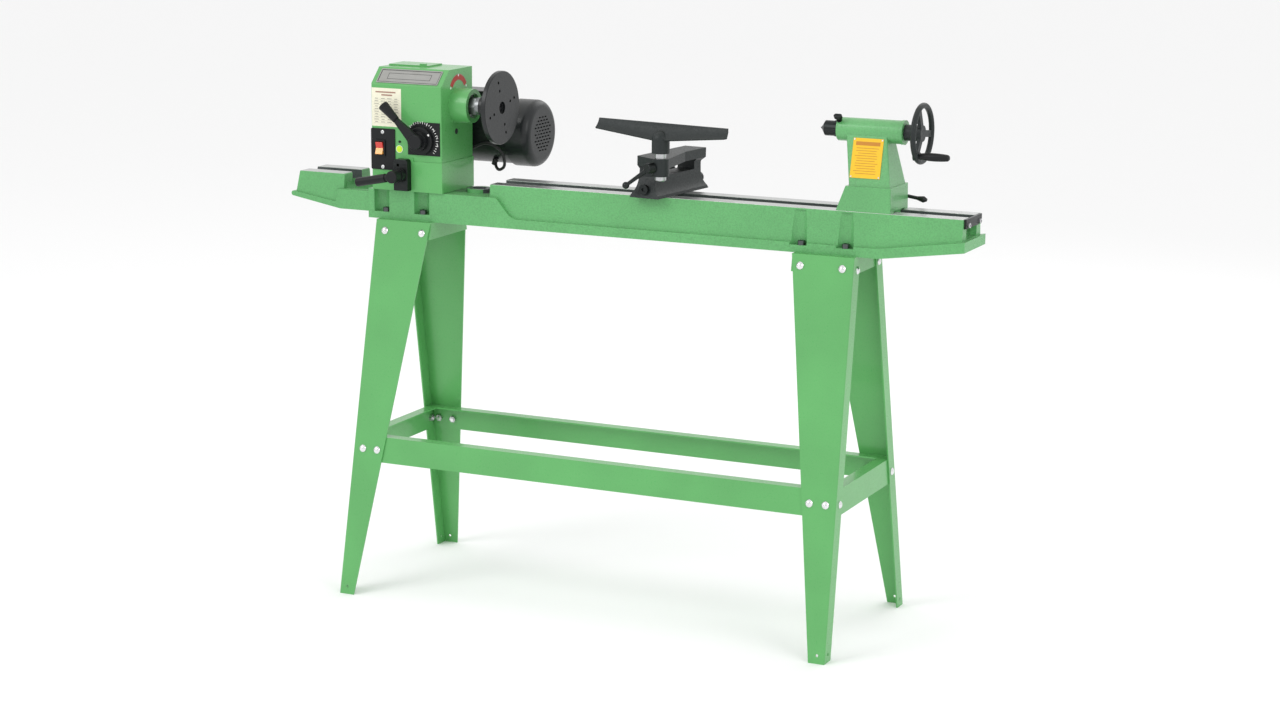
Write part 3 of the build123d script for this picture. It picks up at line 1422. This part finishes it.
centre_tip = 430.0
with BuildPart() as live_centre:
    with BuildSketch(Plane(origin=(0, 0, axis_z), x_dir=(1, 0, 0), z_dir=(0, -1, 0))):
        with BuildLine():
            Polyline((centre_tip, 0), (433.5, 3.2), (441.5, 15), (461, 15), (461, 16),
                     (467, 16), (467, 8.6), (505, 7.9), (505, 0), close=True)
        make_face()
    revolve(axis=Axis((0, 0, axis_z), (1, 0, 0)))
    with BuildSketch(along_x(460)):
        with PolarLocations(16.5, 10):
            Circle(1.9)
    extrude(amount=7, mode=Mode.SUBTRACT)
live_centre.part.label = "live_centre"
export_step(live_centre.part, "parts/live_centre.step")

with BuildPart() as feed_screw:
    with BuildSketch(along_x(516)):
        Circle(7.0)
    extrude(amount=wheel_x - 3 - 516)
feed_screw.part.label = "feed_screw"
export_step(feed_screw.part, "parts/feed_screw.step")

rim_r = 5.6
wheel_spokes = [crank_angle + 120 * i for i in range(3)]
with BuildPart() as handwheel:
    with BuildSketch(Plane(origin=(0, 0, axis_z), x_dir=(1, 0, 0), z_dir=(0, -1, 0))):
        with Locations((wheel_x, wheel_r - rim_r)):
            Circle(rim_r)
        with Locations(((606.5 + wheel_x + 2) / 2, 8)):
            Rectangle(wheel_x + 2 - 606.5, 15.6)
    revolve(axis=Axis((0, 0, axis_z), (1, 0, 0)))
    with BuildSketch(along_x(wheel_x - 5)):
        for angle in wheel_spokes:
            with PolarLocations((wheel_r + 8) / 2, 1, start_angle=angle):
                Rectangle(wheel_r - 14, 13)
    extrude(amount=7)
    with BuildSketch(along_x(wheel_x - 6)):
        with PolarLocations(crank_r, 1, start_angle=crank_angle):
            Circle(9)
    extrude(amount=11.5)
    with BuildSketch(along_x(600)):
        Circle(7.02)
    extrude(amount=wheel_x - 3 - 600, mode=Mode.SUBTRACT)
    with BuildSketch(along_x(wheel_x - 2)):
        with PolarLocations(crank_r, 1, start_angle=crank_angle):
            Circle(4.05)
    extrude(amount=12, mode=Mode.SUBTRACT)
handwheel.part.label = "handwheel"
export_step(handwheel.part, "parts/handwheel.step")

crank_y = crank_r * cos(radians(crank_angle))
crank_z = axis_z + crank_r * sin(radians(crank_angle))
with BuildPart() as crank_handle:
    with BuildSketch(Plane(origin=(0, crank_y, crank_z), x_dir=(1, 0, 0), z_dir=(0, -1, 0))):
        with BuildLine():
            Polyline((wheel_x - 1, 0), (wheel_x - 1, 4), (wheel_x + 7, 4), (wheel_x + 7, 6))
            ThreePointArc((wheel_x + 7, 6), (wheel_x + 36, 8), (wheel_x + 63, 6.4))
            Polyline((wheel_x + 63, 6.4), (wheel_x + 66, 4), (wheel_x + 66, 0),
                     (wheel_x - 1, 0))
        make_face()
    revolve(axis=Axis((0, crank_y, crank_z), (1, 0, 0)))
crank_handle.part.label = "crank_handle"
export_step(crank_handle.part, "parts/crank_handle.step")

with BuildPart() as quill_lock:
    with BuildSketch(lock_at.offset(14)):
        Circle(4.0)
    extrude(amount=24)
    with BuildSketch(lock_at.offset(26)):
        Circle(5.5)
    extrude(amount=4)
    with BuildSketch(lock_at.offset(33)):
        SlotOverall(17, 9)
    extrude(amount=9)
    fillet(quill_lock.faces().sort_by(Axis.Z)[-1].edges(), 1.5)
quill_lock.part.label = "quill_lock"
export_step(quill_lock.part, "parts/quill_lock.step")
